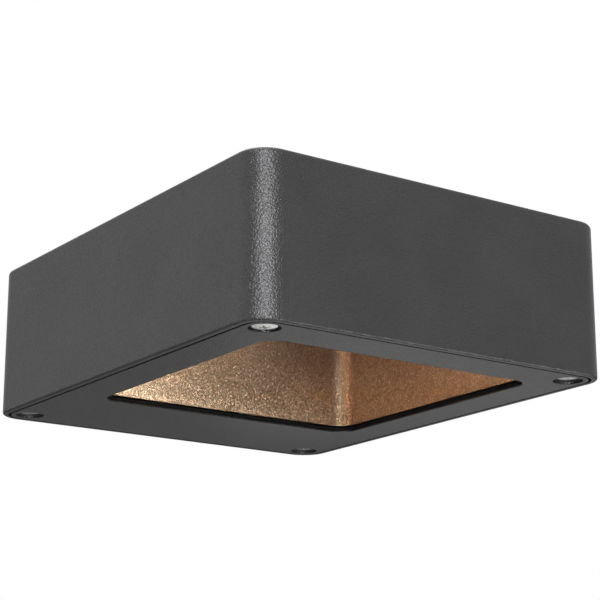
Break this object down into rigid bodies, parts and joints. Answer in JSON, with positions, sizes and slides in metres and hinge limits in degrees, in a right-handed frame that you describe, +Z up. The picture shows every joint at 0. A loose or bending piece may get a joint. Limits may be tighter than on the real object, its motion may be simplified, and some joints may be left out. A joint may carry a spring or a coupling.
{
  "type": "outdoor wall light",
  "caption": "Flat square-edged outdoor wall light in die-cast metal that shines down through a framed window with a bronze reflector.",
  "frame": {"origin": "on the wall plane, midway between the two wall screw slots of the bracket", "axes": "+X along the wall, +Y to the wall, +Z up"},
  "size_m": [0.18, 0.22, 0.0684],
  "materials": {
    "body_coat": "matt anthracite powder coat on die-cast aluminium",
    "bronze_coat": "bronze metallic coat on aluminium sheet",
    "stainless": "turned stainless steel",
    "zinc_steel": "zinc plated sheet steel",
    "silicone": "black silicone",
    "foam": "closed-cell rubber foam",
    "clear_glass": "clear toughened glass",
    "opal_plastic": "opal acrylic",
    "board_white": "white solder mask",
    "phosphor": "yellow phosphor",
    "heat_pad_grey": "soft grey heat pad",
    "driver_case": "black moulded plastic",
    "nylon": "natural moulded nylon",
    "brass": "bright brass",
    "tinned_copper": "tinned copper",
    "lead_brown": "brown lead insulation",
    "lead_blue": "blue lead insulation",
    "lead_green": "green and yellow lead insulation",
    "lead_red": "red lead insulation",
    "lead_black": "black lead insulation"
  },
  "bodies": {
    "housing_body": {"housing": "body_coat", "reflector": "bronze_coat", "reflector_screws": "stainless", "diffuser": "opal_plastic", "led_board": "board_white", "led_packages": "phosphor", "board_screws": "stainless", "heat_pad": "heat_pad_grey", "led_driver": "driver_case", "driver_screws": "stainless", "terminal_block": "nylon", "terminal_inserts": "brass", "terminal_screws": "stainless", "terminal_mount_screws": "stainless", "earth_ring": "tinned_copper", "earth_screw": "brass", "live_lead": "lead_brown", "neutral_lead": "lead_blue", "earth_lead": "lead_green", "led_lead_plus": "lead_red", "led_lead_minus": "lead_black", "cable_grommet": "silicone", "cable_clamp": "nylon", "cable_clamp_screws": "stainless", "wall_bracket": "zinc_steel", "bracket_screws": "stainless", "wall_gasket": "foam"},
    "frame_body": {"bottom_frame": "body_coat", "frame_seal": "silicone", "frame_screws": "stainless", "frame_screw_washers": "silicone", "glass_gasket": "silicone", "glass_pane": "clear_glass", "glass_clips": "stainless", "glass_clip_screws": "stainless"}
  },
  "joints": [
    {"name": "frame_drop", "type": "slide", "parent": "housing_body", "child": "frame_body", "axis": [0, 0, -1], "range_m": [0, 0.06]}
  ]
}
